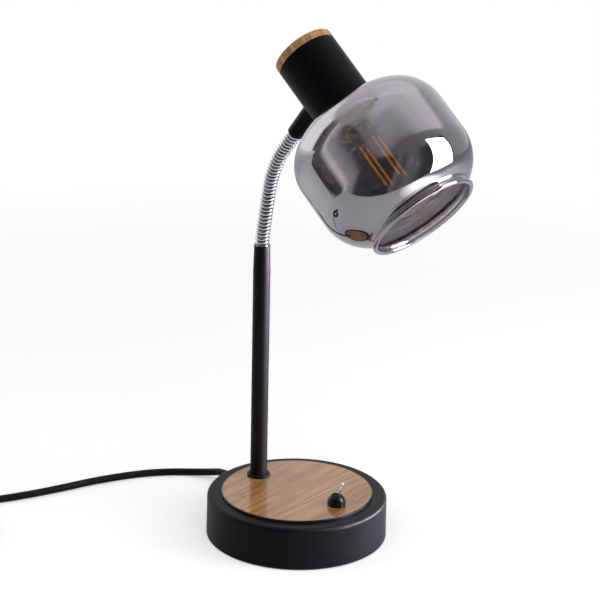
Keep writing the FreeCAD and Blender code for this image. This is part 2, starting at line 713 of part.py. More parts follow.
def build_switch():
    dome_low = disc_high
    ball_z = dome_low + dome_straight
    dome = rod(dome_r, dome_low, ball_z).fuse(Part.makeSphere(dome_r, Vector(0, 0, ball_z)))
    dome = dome.common(rod(dome_r + 1, dome_low, dome_low + 2 * dome_r)).removeSplitter()
    bushing_top = ball_z + 1.2
    dome = dome.cut(rod(bushing_r + slip, dome_low - 1, bushing_top + 0.2))
    dome = dome.cut(Part.makeSphere(dome_r - dome_wall, Vector(0, 0, ball_z)))
    half = slot_width / 2
    slot = Part.makeBox(2 * (slot_half - half), slot_width, 20, Vector(half - slot_half, -half, ball_z))
    for side in (-1, 1):
        slot = slot.fuse(rod(half, ball_z, ball_z + 20, side * (slot_half - half)))
    save(switch_frame(dome.cut(slot)), "switch_dome")
    pivot_z = disc_high + pivot_above_disc
    body_length, body_width, body_height = switch_body_size
    body_high = shell_under - switch_nut_t - slip
    bushing = ring(bushing_r, bushing_bore_r, body_high, bushing_top)
    pin_hole = Part.makeCylinder(lever_pin_r + 0.06, 2 * lever_pin_half + 0.4,
                                 Vector(0, -lever_pin_half - 0.2, pivot_z), Vector(0, 1, 0))
    save(switch_frame(bushing.cut(pin_hole)), "switch_bushing")
    nut = hexagon(switch_nut_flats, bushing_r + slip, shell_under - switch_nut_t, shell_under)
    save(switch_frame(nut), "switch_nut")
    body = Part.makeBox(body_length, body_width, body_height,
                        Vector(-body_length / 2, -body_width / 2, body_high - body_height))
    body = body.makeFillet(0.8, [edge for edge in body.Edges if abs(edge.tangentAt(0).z) > 0.9])
    save(switch_frame(body), "switch_body")
    lugs = []
    for side in (-1, 1):
        lugs.append(Part.makeBox(0.8, 4.6, 5.0, Vector(side * 5.5 - 0.4, -2.3, body_high - body_height - 5.0)))
    save(switch_frame(group(lugs)), "switch_terminals")
    # the lever: ball and cross pin at the pivot, a slim bat and a round tip
    neck_start = math.sqrt(lever_ball_r ** 2 - (lever_r - 0.2) ** 2) - 0.1
    bat = Part.makeCone(lever_r - 0.2, lever_r, lever_length - neck_start, Vector(0, 0, neck_start), UP)
    lever = bat.fuse([Part.makeSphere(lever_ball_r), Part.makeSphere(lever_tip_r, Vector(0, 0, lever_length)),
                      Part.makeCylinder(lever_pin_r, 2 * lever_pin_half, Vector(0, -lever_pin_half, 0), Vector(0, 1, 0))])
    lever.rotate(Vector(0, 0, 0), Vector(0, 1, 0), lever_lean)
    lever.translate(Vector(0, 0, pivot_z))
    save(switch_frame(lever.removeSplitter()), "switch_lever")
    print("lever pivot at z %.3f" % pivot_z)


def build_wiring():
    wall = -base_wall
    inner_face = wall - relief_flange_t - relief_seat
    hole_r = relief_flange_r - 1.0
    steps = [(0, inner_face), (relief_flange_r, inner_face), (relief_flange_r, wall - relief_seat),
             (hole_r, wall - relief_seat), (hole_r, relief_lift), (relief_flange_r, relief_lift),
             (relief_flange_r, relief_flange_t), (relief_big_r, relief_flange_t)]
    # the tapered sleeve has grooves that let it bend
    usable = relief_length - relief_flange_t - 2.0
    for k in range(relief_grooves):
        start = relief_flange_t + usable * (k + 0.45) / relief_grooves
        end = relief_flange_t + usable * (k + 0.85) / relief_grooves
        for z, cut in ((start, 0.0), (start, 0.7), (end, 0.7), (end, 0.0)):
            share = (z - relief_flange_t) / (relief_length - relief_flange_t)
            steps.append((relief_big_r + (relief_small_r - relief_big_r) * share - cut, z))
    steps += [(relief_small_r, relief_length), (0, relief_length)]
    save(along_cord(turned(*steps)), "cord_relief")
    save(along_cord(rod(cord_r, inner_face - cord_inside, inner_face)), "cord_lead_in")
    block = Part.makeBox(18, 22, 11, Vector(-9, -11, plate_high))
    for y in (-6, 0, 6):
        block = block.cut(rod(1.7, plate_high + 5, plate_high + 12, -4.5, y))
        block = block.cut(rod(1.7, plate_high + 5, plate_high + 12, 4.5, y))
    save(block, "terminal_block")
    screws = []
    for y in (-6, 0, 6):
        for x in (-4.5, 4.5):
            screws.append(rod(1.6, plate_high + 5, plate_high + 9, x, y))
    save(group(screws), "terminal_screws")
    saddle_r = cord_r + slip
    clamp_low = plate_high
    clamp = Part.makeBox(2 * clamp_half, 6, cord_exit_z + cord_r + 1.6 - clamp_low, Vector(-clamp_half, -3, clamp_low))
    clamp = clamp.cut(Part.makeCylinder(saddle_r, 10, Vector(0, -5, cord_exit_z), Vector(0, 1, 0)))
    clamp = clamp.cut(Part.makeBox(2 * saddle_r, 8, cord_exit_z - clamp_low, Vector(-saddle_r, -4, clamp_low)))
    clamp = max(clamp.Solids, key=lambda solid: solid.Volume)
    clamp.rotate(Vector(0, 0, 0), UP, cord_exit_angle - 90)
    x, y = on_circle(side_radius(cord_exit_z) + inner_face - cord_inside + 5, cord_exit_angle)
    clamp.translate(Vector(x, y, 0))
    save(clamp, "cord_clamp")


def exit_point(beyond):
    x, y = on_circle(side_radius(cord_exit_z) + beyond, cord_exit_angle)
    return Vector(x, y, cord_exit_z)


coil_outer_r = coil_inner_r + coil_step * coil_turns_in
coil_turns = 2 * coil_turns_in + coil_turns_tail
climb_turns = 0.5          # where the turns stop running inwards, the cord climbs to the upper layer
tail_turns = 0.6           # the last stretch moves outwards over the cord that comes in
tail_outward = 5.9
drop_turns = 0.2           # and then comes down to the plug's height
coil_ends = 2 * cord_r     # straight stretch at either end of the coil


def smooth(share):
    share = min(1.0, max(0.0, share))
    return share * share * (3 - 2 * share)


def coil_place(turn):
    """A point of the put-away cord: turns inwards on the table, then outwards on top of them."""
    angle = math.radians(coil_enter_angle) + 2 * math.pi * turn
    radius = coil_inner_r + coil_step * abs(coil_turns_in - turn)
    height = cord_r + coil_step * smooth((turn - coil_turns_in) / climb_turns + 0.5)
    drop = coil_turns - drop_turns
    radius += smooth((turn - coil_turns + tail_turns) / (tail_turns - drop_turns)) * tail_outward
    height += smooth((turn - drop) / drop_turns) * (plug_axis_z - cord_r - coil_step)
    return Vector(coil_centre[0] + radius * math.cos(angle), coil_centre[1] + radius * math.sin(angle), height)


def coil_point(turn):
    small = 1e-4
    way = coil_place(min(turn + small, coil_turns)) - coil_place(max(turn - small, 0.0))
    return coil_place(turn), way.normalize()


def cord_route():
    """The cord's free stretch, from the strain relief to the coil: points chosen by hand."""
    start = exit_point(relief_length)
    coil_start, way = coil_point(0)
    coil_start -= way * coil_ends
    return [start,
            exit_point(relief_length + 16.5),
            Vector(-122.3, 27.9, 5.0),
            Vector(-137.0, 20.5, cord_r),
            Vector(-150.5, 7.8, cord_r),
            Vector(-164.0, -10.5, cord_r),
            Vector(-179.5, -45.0, cord_r),
            Vector(-188.0, -76.0, cord_r),
            Vector(-197.5, -104.0, cord_r),
            Vector(-210.0, -132.0, cord_r),
            coil_start - way * 32,
            coil_start]


def rounded_path(points):
    """Straight runs joined by arcs, each as large as its two runs allow. Returns edges, length and radii."""
    edges, length, radii = [], 0.0, []
    here = points[0]
    for before, corner, after in zip(points, points[1:], points[2:]):
        into = (corner - before).normalize()
        out = (after - corner).normalize()
        cut = 0.45 * min(corner.distanceToPoint(before), corner.distanceToPoint(after))
        start, end = corner - into * cut, corner + out * cut
        half_turn = into.getAngle(out) / 2
        radii.append(cut / math.tan(half_turn))
        edges.append(Part.LineSegment(here, start).toShape())
        edges.append(arc_between(start, corner, end))
        here = end
    edges.append(Part.LineSegment(here, points[-1]).toShape())
    return edges, sum(edge.Length for edge in edges), radii


def plug_section(half_width, half_height, z):
    """A long hexagon with cut corners, square to Z."""
    slope = min(half_height * 0.8, half_width * 0.6)
    outline = [(half_width, 0.3 * half_height), (half_width - slope, half_height), (slope - half_width, half_height),
               (-half_width, 0.3 * half_height), (-half_width, -0.3 * half_height), (slope - half_width, -half_height),
               (half_width - slope, -half_height), (half_width, -0.3 * half_height)]
    points = [Vector(x, y, z) for x, y in outline]
    return Part.makePolygon(points + points[:1])


def build_plug(start, way):
    across = Vector(way.y, -way.x, 0)
    frame = Placement(start, Rotation(across, UP, way, "ZXY"))
    half_height = plug_axis_z - slip
    relief = turned((0, 0), (cord_r + 0.8, 0), (4.9, plug_relief), (0, plug_relief))
    rear = plug_relief
    stations = ((plug_rear_half_width, 5.0, rear), (plug_rear_half_width + 1.5, 5.8, rear + 4),
                (plug_half_width - 1.2, half_height - 0.2, rear + 21), (plug_half_width, half_height, rear + 24),
                (plug_half_width, half_height, rear + plug_length))
    body = Part.makeLoft([plug_section(*station) for station in stations], True, True)
    save(placed(relief.fuse(body).removeSplitter(), frame), "plug_body")
    pins = []
    for side in (-1, 1):
        pin = turned((0, 0), (pin_r, 0), (pin_r, pin_length - 1.0), (pin_r - 1.0, pin_length), (0, pin_length))
        pin.translate(Vector(side * pin_spacing / 2, 0, rear + plug_length))
        pins.append(pin)
    save(placed(group(pins), frame), "plug_pins")


def build_cord():
    points = cord_route()
    edges, length, radii = rounded_path(points)
    tube = tube_on(edges, cord_r, points[0], (points[1] - points[0]).normalize())
    save(tube, "mains_cord")
    share = tube.Volume / (math.pi * cord_r ** 2 * length)
    print("cord: %.1f mm, volume %.4f of section times length, radii %s"
          % (length, share, " ".join("%.0f" % radius for radius in radii)))
    climb = coil_turns_in - climb_turns / 2
    tail = coil_turns - tail_turns
    drop = coil_turns - drop_turns
    stops = even_stops(0.0, climb, 0.25)
    stops += even_stops(climb, climb + climb_turns, 0.25)[1:]
    stops += even_stops(climb + climb_turns, tail, 0.25)[1:]
    stops += even_stops(tail, drop, 0.2)[1:]
    stops += even_stops(drop, coil_turns, 0.1)[1:]
    coil = wound_tube(coil_point, stops, cord_r, coil_ends)
    end, end_way = coil_point(coil_turns)
    end += end_way * coil_ends
    coil_length = coil.Volume / (math.pi * cord_r ** 2)
    save(coil, "cord_coil")
    gap = least_gap(coil_point, 0.0, coil_turns, 1.0, 2 * cord_r)
    print("coil: %.1f mm in %.2f turns, least gap to itself %.2f mm, whole cord from the wall %.1f mm"
          % (coil_length, coil_turns, gap, length + coil_length + relief_length))
    build_plug(end, Vector(end_way.x, end_way.y, 0).normalize())


build_base()
build_pole()
build_neck()
build_ferrule()
build_head()
build_switch()
build_wiring()
build_cord()
origin = head_frame().Base
print("head starts at %.2f %.2f" % (origin.x, origin.z))
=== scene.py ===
import math

import bmesh
import bpy
from mathutils import Matrix, Vector


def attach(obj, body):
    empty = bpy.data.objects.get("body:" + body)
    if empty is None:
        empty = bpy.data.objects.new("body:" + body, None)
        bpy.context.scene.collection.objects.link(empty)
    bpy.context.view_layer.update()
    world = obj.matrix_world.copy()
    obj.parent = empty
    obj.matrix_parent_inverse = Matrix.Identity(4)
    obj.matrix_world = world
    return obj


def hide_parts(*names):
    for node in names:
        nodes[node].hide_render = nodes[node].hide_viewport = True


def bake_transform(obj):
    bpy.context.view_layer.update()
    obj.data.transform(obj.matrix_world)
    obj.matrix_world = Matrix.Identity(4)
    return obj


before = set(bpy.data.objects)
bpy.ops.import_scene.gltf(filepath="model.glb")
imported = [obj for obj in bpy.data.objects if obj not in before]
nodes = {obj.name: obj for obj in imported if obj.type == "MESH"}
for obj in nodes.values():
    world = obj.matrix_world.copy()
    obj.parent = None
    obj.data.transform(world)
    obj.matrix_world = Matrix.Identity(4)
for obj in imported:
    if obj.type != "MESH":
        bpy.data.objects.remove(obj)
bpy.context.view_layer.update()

# A table lamp seen from its left front. Metres, in the model's own frame: the origin is the middle
# of the base's underside, +Z is up and +X points from the upright to the switch.

scene = bpy.context.scene
scene.view_settings.view_transform = "Standard"

VIEW_TURN = math.radians(41.7)      # the lamp's +X axis is turned away from the picture's right
PICTURE_WIDTH = 600                 # pixels
SENSOR_WIDTH = 36.0                 # millimetres


def picture(x, y, z):
    """A direction or place given as right, away and up in the picture's frame."""
    return Matrix.Rotation(VIEW_TURN, 3, "Z") @ Vector((x, y, z))


# Camera

def add_camera():
    """The camera that matches the picture, with its focal length and offsets in pixels."""
    pitch, roll = math.radians(17.762), math.radians(1.3)
    distance, focal = 1.446125, 1850.0
    off_x, off_y = -3.97, 231.071
    forward = Vector((0, math.cos(pitch), -math.sin(pitch)))
    level = Vector((1, 0, 0))
    above = level.cross(forward)
    right = level * math.cos(roll) + above * math.sin(roll)
    up = above * math.cos(roll) - level * math.sin(roll)
    place = -right * (off_x * distance / focal) + up * (off_y * distance / focal)
    place -= forward * distance
    data = bpy.data.cameras.new("camera")
    data.sensor_width = SENSOR_WIDTH
    data.lens = focal / PICTURE_WIDTH * SENSOR_WIDTH
    data.clip_start, data.clip_end = 0.05, 50.0
    camera = bpy.data.objects.new("camera", data)
    scene.collection.objects.link(camera)
    turn = Matrix.Rotation(VIEW_TURN, 4, "Z")
    axes = Matrix((right, up, -forward)).transposed().to_4x4()
    camera.matrix_world = turn @ Matrix.Translation(place) @ axes
    scene.camera = camera


add_camera()


# Materials

class Nodes:
    """A node tree with short ways to add and join nodes."""

    def __init__(self, tree):
        self.tree = tree

    def node(self, kind, **inputs):
        made = self.tree.nodes.new("ShaderNode" + kind)
        for key, value in inputs.items():
            self.put(made, key, value)
        return made

    def put(self, made, key, value):
        """Sets a socket or a property of a node.

        A socket goes by its name, with _ for a space, or by its number as _0. A property's name
        starts with a small letter.
        """
        if key.startswith("_"):
            socket = made.inputs[int(key[1:])]
        elif key[0].isupper():
            socket = made.inputs[key.replace("_", " ")]
        else:
            setattr(made, key, value)
            return
        if isinstance(value, bpy.types.NodeSocket):
            self.tree.links.new(value, socket)
        else:
            socket.default_value = value

    def fit(self, value, low, high, to_low, to_high, **more):
        """The value carried from one range to another, and held at the ends of the second."""
        made = self.node("MapRange", Value=value, From_Min=low, From_Max=high, To_Min=to_low,
                         To_Max=to_high, **more)
        return made.outputs["Result"]

    def maths(self, operation, first, second=0.0):
        return self.node("Math", operation=operation, _0=first, _1=second).outputs[0]

    def curve(self, value, stops, straight=False):
        """The value put through a curve, whose stops lie within 0 and 1 both ways."""
        made = self.node("FloatCurve", Value=value)
        points = made.mapping.curves[0].points
        points[0].location, points[1].location = stops[0], stops[-1]
        for stop in stops[1:-1]:
            points.new(*stop)
        if straight:
            for point in points:
                point.handle_type = "VECTOR"
        made.mapping.update()
        return made.outputs[0]

    def length(self, vector):
        return self.node("VectorMath", operation="LENGTH", _0=vector).outputs["Value"]

    def dot(self, vector, direction):
        made = self.node("VectorMath", operation="DOT_PRODUCT", _0=vector, _1=tuple(direction))
        return made.outputs["Value"]

    def distance(self, vector, place):
        made = self.node("VectorMath", operation="DISTANCE", _0=vector, _1=tuple(place))
        return made.outputs["Value"]

    def between(self, share, first, second):
        """A mix of two numbers."""
        return self.node("Mix", data_type="FLOAT", _0=share, _2=first, _3=second).outputs[0]

    def path(self, kind):
        return self.node("LightPath").outputs[kind]

    def seen_directly(self):
        return self.maths("MAXIMUM", self.path("Is Camera Ray"), self.path("Is Transmission Ray"))

    def glow(self, color, strength):
        return self.node("Emission", Color=color, Strength=strength).outputs[0]

    def add(self, first, second):
        """The sum of two shaders."""
        return self.node("AddShader", _0=first, _1=second).outputs[0]

    def blend(self, share, first, second):
        """A mix of two shaders."""
        return self.node("MixShader", _0=share, _1=first, _2=second).outputs[0]


class Shader(Nodes):
    """A material's node tree around its Principled shader."""

    def __init__(self, name):
        self.material = bpy.data.materials.new(name)
        self.material.use_nodes = True
        super().__init__(self.material.node_tree)
        self.surface = self.tree.nodes["Principled BSDF"]
        self.output = self.tree.nodes["Material Output"]
        self.place = None

    def set(self, **inputs):
        for key, value in inputs.items():
            self.put(self.surface, key, value)
        return self

    def at(self, turn=(0, 0, 0), scale=(1, 1, 1)):
        """Coordinates in the model's frame, turned and scaled."""
        if self.place is None:
            self.place = self.node("TexCoord").outputs["Object"]
        return self.scaled(self.place, scale, turn)

    def scaled(self, where, scale, turn=(0, 0, 0)):
        made = self.node("Mapping", Vector=where, Rotation=turn, Scale=scale)
        return made.outputs["Vector"]

    def noise(self, where, scale, detail=3.0, rough=0.5, warp=0.0):
        made = self.node("TexNoise", Vector=where, Scale=scale, Detail=detail, Roughness=rough,
                         Distortion=warp)
        return made.outputs["Fac"]

    def ramp(self, value, *stops):
        made = self.node("ValToRGB", Fac=value)
        made.color_ramp.elements[0].position = stops[0][0]
        made.color_ramp.elements[0].color = (*stops[0][1], 1)
        made.color_ramp.elements[1].position = stops[-1][0]
        made.color_ramp.elements[1].color = (*stops[-1][1], 1)
        for position, color in stops[1:-1]:
            made.color_ramp.elements.new(position).color = (*color, 1)
        return made.outputs["Color"]

    def mix(self, share, first, second):
        """A mix of two colours."""
        return self.node("Mix", data_type="RGBA", _0=share, _6=first, _7=second).outputs[2]

    def bump(self, height, strength, depth):
        made = self.node("Bump", Height=height, Strength=strength, Distance=depth)
        self.put(self.surface, "Normal", made.outputs["Normal"])
        return self

    def let_lamps_through(self, color):
        """Lamps shine through the surface as through tinted glass."""
        clear = self.node("BsdfTransparent", Color=rgb(*color)).outputs[0]
        mixed = self.blend(self.path("Is Shadow Ray"), self.surface.outputs[0], clear)
        self.put(self.output, "Surface", mixed)
        return self


def rgb(*color):
    return (*color, 1.0)


def times(color, factor):
    return rgb(*(part * factor for part in color))


def lacquer(name, color, light, roughness, grain=900.0, depth=0.00003, gloss=0.2):
    """Sprayed paint: a faint orange peel, uneven sheen and a few paler dust specks."""
    s = Shader(name)
    where = s.at()
    peel = s.noise(where, grain, 2.0)
    cloud = s.noise(where, 26.0, 4.0, 0.6)
    tone = s.fit(cloud, 0.3, 0.7, 0.0, 1.0)
    speck = s.fit(s.noise(where, 2600.0, 1.0), 0.74, 0.80, 0.0, 0.35)
    base = s.mix(tone, rgb(*color), rgb(*light))
    s.set(Base_Color=s.mix(speck, base, times(light, 2.2)))
    s.set(Roughness=s.fit(cloud, 0.3, 0.7, roughness - 0.03, roughness + 0.04),
          Specular_IOR_Level=gloss)
    return s.bump(peel, 0.12, depth)


def oak(name, turn, colors, shine=0.33, ring_scale=1.0, coat=1.0, coat_shine=0.12, depth=0.75,
        edge=None):
    """Lacquered light oak: early and late bands, fibres, thin dark lines and short pores.

    The grain runs along x after the turn. The colours go from pale to deep, depth is how dark
    the pores are, and edge is the radius past which painted shade darkens the disc's rim.
    """
    s = Shader(name)
    where = s.at(turn=turn)
    band_width = 75 * ring_scale
    bands = s.noise(s.scaled(where, (5, band_width, band_width)), 1.0, 3.0, 0.55, 0.6)
    fibres = s.noise(s.scaled(where, (34, 720, 720)), 1.0, 3.0, 0.6)
    lines = s.noise(s.scaled(where, (12, 1100, 1100)), 1.0, 2.0, 0.5, 0.3)
    blotch = s.noise(where, 22.0, 2.0)
    pores = s.noise(s.scaled(where, (60, 950, 950)), 1.0, 1.0)
    pores = s.fit(pores, 0.56, 0.68, 0.0, 1.0)
    pores = s.maths("MULTIPLY", pores, s.fit(bands, 0.42, 0.6, 0.15, 1.0))
    pale, middle, dark, deep = colors
    base = s.ramp(bands, (0.30, pale), (0.48, middle), (0.60, dark), (0.72, middle))
    base = s.mix(s.fit(fibres, 0.35, 0.65, 0.0, 0.55), base, rgb(*pale))
    base = s.mix(s.fit(blotch, 0.4, 0.65, 0.0, 0.30), base, rgb(*dark))
    base = s.mix(s.fit(lines, 0.46, 0.58, 0.0, 0.8), base, rgb(*dark))
    base = s.mix(s.maths("MULTIPLY", pores, depth), base, rgb(*deep))
    if edge:
        # painted shade: past edge the disc's rim is darkened, for the shadow in the gap between the
        # disc and the base's rim
        away = s.length(s.at(scale=(1, 1, 0)))
        painted_gap_shade = s.fit(away, edge - 0.0002, edge + 0.0001, 0.0, 1.0)
        base = s.mix(painted_gap_shade, base, rgb(0.012, 0.008, 0.006))
    s.set(Base_Color=base, Roughness=s.fit(fibres, 0.3, 0.7, shine - 0.04, shine + 0.08))
    s.set(Coat_Weight=coat, Coat_Roughness=coat_shine, Specular_IOR_Level=0.25)
    return s.bump(s.maths("SUBTRACT", fibres, pores), 0.18, 0.00006)


def metal(name, color, roughness, brushed=0.0):
    s = Shader(name)
    where = s.at()
    wear = s.noise(where, 140.0, 4.0, 0.6)
    dull = s.fit(wear, 0.35, 0.7, 0.0, 1.0)
    s.set(Metallic=1.0, Base_Color=s.mix(dull, rgb(*color), times(color, 0.86)))
    s.set(Roughness=s.fit(wear, 0.3, 0.7, roughness, roughness + 0.06))
    if brushed:
        s.bump(s.noise(s.at(scale=(1, 1, 24)), 320.0, 2.0), brushed, 0.00002)
    return s


def plastic(name, color, light, roughness, grain=1400.0, strength=0.10, gloss=0.5):
    s = Shader(name)
    where = s.at()
    cloud = s.noise(where, 40.0, 3.0)
    s.set(Base_Color=s.mix(s.fit(cloud, 0.35, 0.65, 0.0, 1.0), rgb(*color), rgb(*light)))
    s.set(Roughness=s.fit(s.noise(where, 300.0, 2.0), 0.3, 0.7, roughness - 0.04, roughness + 0.05),
          Specular_IOR_Level=gloss)
    return s.bump(s.noise(where, grain, 2.0), strength, 0.00003)


DISC_GRAIN = (0, 0, math.radians(-94))
CAP_GRAIN = (0, math.radians(-48.8), 0)     # along the head's axis
# painted shade: the oak disc's rim is darkened from this radius outwards
DISC_SHADED_RIM_FROM = 0.0577
OAK_DISC = ((0.55, 0.277, 0.098), (0.45, 0.212, 0.070), (0.25, 0.106, 0.031),
            (0.09, 0.036, 0.011))
OAK_CAP = ((0.62, 0.345, 0.145), (0.44, 0.220, 0.080), (0.20, 0.094, 0.033),
           (0.070, 0.030, 0.010))

black = lacquer("black_lacquer", (0.0018, 0.0017, 0.0026), (0.0028, 0.0027, 0.0042), 0.40,
                gloss=0.10)
black_pole = lacquer("black_lacquer_tube", (0.0020, 0.0013, 0.0018), (0.0030, 0.0020, 0.0027),
                     0.40, gloss=0.12)
black_head = lacquer("black_lacquer_head", (0.0014, 0.0012, 0.0024), (0.0022, 0.0018, 0.0036),
                     0.38, gloss=0.08)
black_dome = lacquer("black_enamel", (0.0024, 0.0022, 0.0024), (0.0036, 0.0034, 0.0038), 0.24,
                     grain=1500.0, depth=0.00001, gloss=0.3)
oak_disc = oak("oak_veneer", DISC_GRAIN, OAK_DISC, coat=0.75, edge=DISC_SHADED_RIM_FROM)
oak_cap = oak("oak_turned", CAP_GRAIN, OAK_CAP, shine=0.45, ring_scale=1.6, coat=0.3,
              coat_shine=0.3, depth=0.4)
chrome = metal("chrome", (0.86, 0.86, 0.88), 0.07)
steel = metal("zinc_steel", (0.55, 0.55, 0.57), 0.28, 0.2)
nickel = metal("nickel", (0.68, 0.65, 0.58), 0.20)
brass = metal("brass", (0.74, 0.55, 0.24), 0.25)
iron = lacquer("cast_iron", (0.03, 0.03, 0.032), (0.05, 0.048, 0.046), 0.7, grain=420.0,
               depth=0.0002)
rubber = plastic("foam_rubber", (0.018, 0.018, 0.019), (0.026, 0.026, 0.027), 0.85,
                 grain=700.0, strength=0.5)
cream = plastic("cream_plastic", (0.71, 0.62, 0.50), (0.77, 0.68, 0.56), 0.36)
black_pvc = plastic("black_pvc", (0.0024, 0.0022, 0.0029), (0.0036, 0.0033, 0.0042), 0.42,
                    gloss=0.14)


def clear_glass(name, tint, through):
    s = Shader(name)
    s.set(Base_Color=rgb(*tint), Transmission_Weight=1.0, Roughness=0.0, IOR=1.45)
    return s.let_lamps_through(through)


bulb_glass = clear_glass("bulb_glass", (0.97, 0.965, 0.96), (0.92, 0.92, 0.91))
stem_glass = clear_glass("stem_glass", (0.93, 0.95, 0.94), (0.85, 0.86, 0.86))
inner_glass = clear_glass("smoked_glass_inside", (0.96, 0.90, 0.94), (0.95, 0.95, 0.95))


def phosphor():
    s = Shader("filament_phosphor_painted_glow")
    grain = s.noise(s.at(), 900.0, 2.0)
    s.set(Base_Color=s.mix(grain, rgb(0.95, 0.36, 0.03), rgb(1.0, 0.47, 0.06)), Roughness=0.6)
    # painted light: the unlit phosphor is given a glow, which brightens the filaments though the
    # bulb is off
    s.set(Emission_Color=rgb(1.0, 0.40, 0.02), Emission_Strength=1.8)
    return s


filament_painted_glow = phosphor()

NODE_MATERIALS = (
    (black, "base_shell"),
    (black_pole, "pole_flange pole_tube"),
    (black_head, "ferrule head_cup"),
    (black_dome, "switch_dome"),
    (oak_disc, "wood_disc"),
    (oak_cap, "wood_cap"),
    (iron, "base_weight"),
    (rubber, "foot_pad"),
    (chrome, "switch_lever"),
    (steel, "base_plate base_screws pole_foot_bush pole_stud pole_nut pole_washer"),
    (steel, "neck_lower_fitting neck_upper_fitting head_nut head_saddle_washer"),
    (steel, "holder_nipple holder_nuts switch_bushing switch_nut terminal_screws"),
    (nickel, "holder_screw_shell bulb_base bulb_wires plug_pins"),
    (brass, "holder_contact bulb_contact switch_terminals"),
    (cream, "lampholder shade_ring terminal_block"),
    (bulb_glass, "bulb_glass"),
    (stem_glass, "bulb_stem"),
    (filament_painted_glow, "bulb_filaments"),
    (black_pvc, "switch_body cord_relief cord_lead_in cord_clamp plug_body"),
)
for shader, names in NODE_MATERIALS:
    for name in names.split():
        for held in nodes[name].material_slots:
            held.material = shader.material


def new_piece(name, mesh, shader_list):
    piece = bpy.data.objects.new(name, mesh)
    for shader in shader_list:
        mesh.materials.append(shader.material)
    scene.collection.objects.link(piece)
    return piece


# Cord: from the strain relief along the table, then put away in a coil with its plug. Millimetres.

CORD_R = 3.0
EXIT_ANGLE = math.radians(165.0)
EXIT_R = 69.877 + 24.0     # the base's wall and the strain relief's length
EXIT_Z = 9.6
COIL_CENTRE = (-193.8, -210.1)
COIL_ENTER = 156.4         # degrees
COIL_INNER = 20.8
COIL_STEP = 6.5            # between turns, and between the lower and the upper layer
TURNS_IN = 3.5             # the lower layer runs inwards, and the upper one outwards again
COIL_TURNS = 7.2
COIL_POINTS = 16           # per turn
COIL_OUT = 5.9             # how far the end swings out to the plug
PLUG_Z = 6.85
TABLE_POINTS = ((-122.6, 26.4, 5.0), (-137.3, 18.8, 3.0), (-150.6, 6.0, 3.0),
                (-163.9, -12.5, 3.0), (-179.0, -47.2, 3.0), (-187.1, -78.3, 3.0),
                (-196.2, -106.4, 3.0), (-208.4, -134.6, 3.0))


def smooth(share):
    """A share of 0 to 1, eased at both ends."""
    share = min(1.0, max(0.0, share))
    return share * share * (3 - 2 * share)


def coil_place(turn):
    """The cord's middle after so many turns of the coil."""
    angle = math.radians(COIL_ENTER) + 2 * math.pi * turn
    radius = COIL_INNER + COIL_STEP * abs(TURNS_IN - turn)
    height = CORD_R + COIL_STEP * smooth((turn - TURNS_IN) / 0.5 + 0.5)
    # near its end it swings out and then down to the plug
    radius += smooth((turn - COIL_TURNS + 0.6) / 0.4) * COIL_OUT
    height += smooth((turn - COIL_TURNS + 0.2) / 0.2) * (PLUG_Z - CORD_R - COIL_STEP)
    return Vector((COIL_CENTRE[0] + radius * math.cos(angle),
                   COIL_CENTRE[1] + radius * math.sin(angle), height))


def exit_point(beyond):
    reach = EXIT_R + beyond
    return Vector((reach * math.cos(EXIT_ANGLE), reach * math.sin(EXIT_ANGLE), EXIT_Z))


def cord_points():
    start, end = coil_place(0.0), coil_place(COIL_TURNS)
    entering = (coil_place(0.001) - start).normalized()
    leaving = (end - coil_place(COIL_TURNS - 0.001)).normalized()
    points = [exit_point(0.0), exit_point(16.5)] + [Vector(place) for place in TABLE_POINTS]
    points += [start - entering * 38, start - entering * 6]
    # a curve of order 3 runs inside its points, so the turns' points lie a little further out
    outward = 1 / (0.75 + 0.25 * math.cos(2 * math.pi / COIL_POINTS))
    centre = Vector((*COIL_CENTRE, 0))
    steps = round(COIL_TURNS * COIL_POINTS)
    for k in range(steps + 1):
        place = coil_place(COIL_TURNS * k / steps)
        flat = Vector((place.x, place.y, 0)) - centre
        points.append(centre + flat * outward + Vector((0, 0, place.z)))
    points.append(end + leaving * 6)
    return points


def add_cord():
    data = bpy.data.curves.new("cord", "CURVE")
    data.dimensions = "3D"
    spline = data.splines.new("NURBS")
    points = cord_points()
    spline.points.add(len(points) - 1)
    for held, place in zip(spline.points, points):
        held.co = (*(place / 1000), 1.0)
    spline.order_u = 3
    spline.use_endpoint_u = True
    spline.resolution_u = 8
    data.bevel_depth = CORD_R / 1000
    data.bevel_resolution = 5
    data.use_fill_caps = True
    data.materials.append(black_pvc.material)
    cord = bpy.data.objects.new("mains_lead", data)
    scene.collection.objects.link(cord)
    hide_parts("mains_cord", "cord_coil")
    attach(cord, "stand")


add_cord()


# Gooseneck: one winding, drawn as a skin in a piece for each hinge. Millimetres.

POLE_X, POLE_TOP = -41.0, 224.5
NECK_BEND = 80.0           # the radius of both bends of the centre line
NECK_LEANS = (math.radians(9.5), math.radians(38.0))
NECK_RUN = 30.5            # the straight run between the bends
NECK_LAST = 15.44          # the straight run after them
PITCH = 2.97
NECK_R = 5.5
RIB_DEPTH = 1.0            # half the rib's thickness
RIB_WIDTH = 1.08           # half the rib's width along the neck
RIB_FLATNESS = 0.45        # 1 for a round rib, less for one with a flatter crown
WIND_R = NECK_R - RIB_DEPTH
CORE_R = 4.1
TURN_STEPS = 56            # rings of the rib per turn
CORE_STEP = 0.8
START_ANGLE = 20.0         # degrees
NECK_STOPS = [NECK_BEND * NECK_LEANS[0]]
NECK_STOPS.append(NECK_STOPS[0] + NECK_RUN)
NECK_STOPS.append(NECK_STOPS[1] + NECK_BEND * (NECK_LEANS[1] - NECK_LEANS[0]))
NECK_LENGTH = NECK_STOPS[2] + NECK_LAST
NECK_SUNK = 2.0            # how far the winding runs into the tube and the ferrule
JOINTS = 12
JOINT_REACH = 3.6          # each way from a hinge
